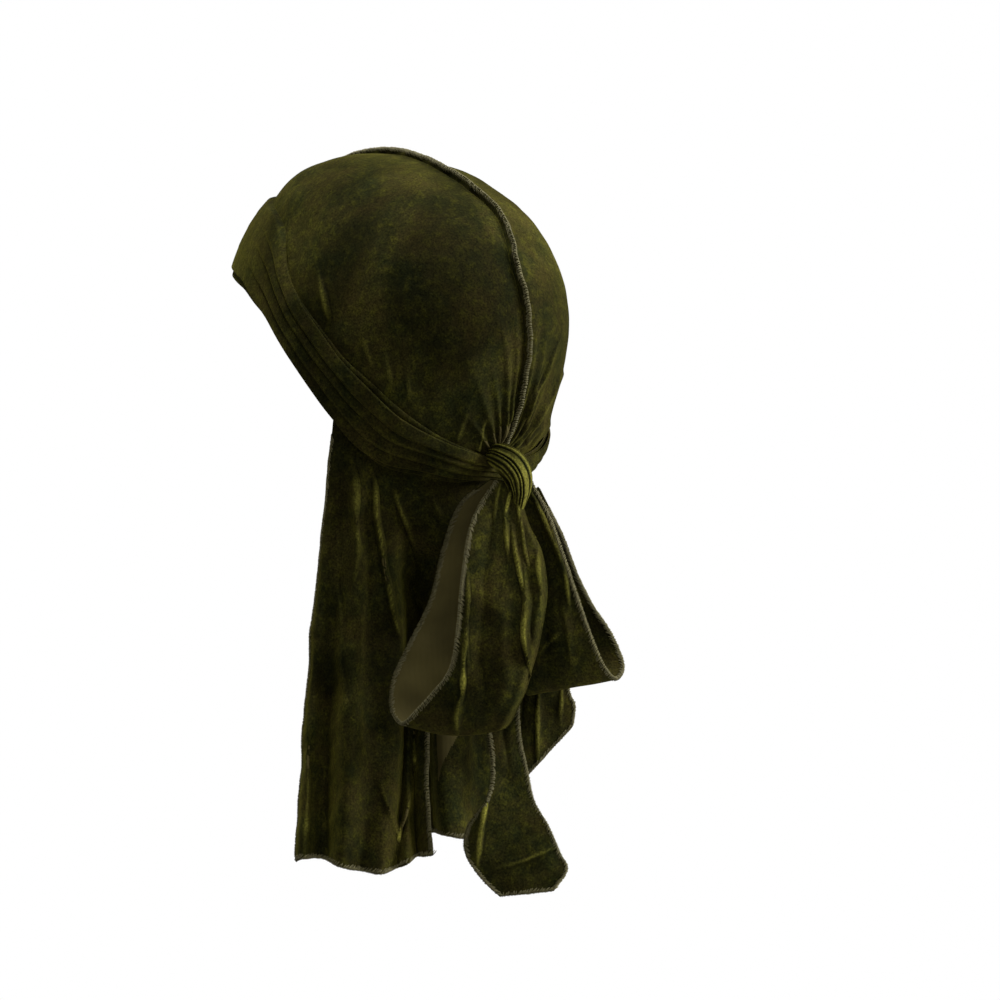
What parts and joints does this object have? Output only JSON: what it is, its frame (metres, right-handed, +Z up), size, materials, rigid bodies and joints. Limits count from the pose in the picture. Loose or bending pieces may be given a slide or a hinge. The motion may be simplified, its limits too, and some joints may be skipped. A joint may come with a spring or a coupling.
{
  "type": "velvet durag tied in a bow",
  "caption": "Velvet durag kept in its worn form: stretched crown with a raised centre seam, straps wrapped round the head and tied in a bow at the nape, and an open back flap.",
  "frame": {"origin": "top of the head, on the inner face of the crown, where the durag sits on its wearer", "axes": "+Z up, the face looks along -Y, the wearer's left is +X and the bow hangs at the rear, +Y"},
  "size_m": [0.1682, 0.2288, 0.4103],
  "materials": {
    "velvet": "olive crushed stretch velvet, dark in the folds and yellow-green on the ridges",
    "seam_thread": "olive overlock thread"
  },
  "bodies": {
    "root": {"crown_left": "velvet", "crown_right": "velvet", "centre_seam": "seam_thread", "wrap_over": "velvet", "wrap_under": "velvet", "knot": "velvet", "loop_left": "velvet", "loop_right": "velvet", "tail_left": "velvet", "tail_right": "velvet", "flap_left": "velvet", "flap_right": "velvet"}
  },
  "joints": []
}
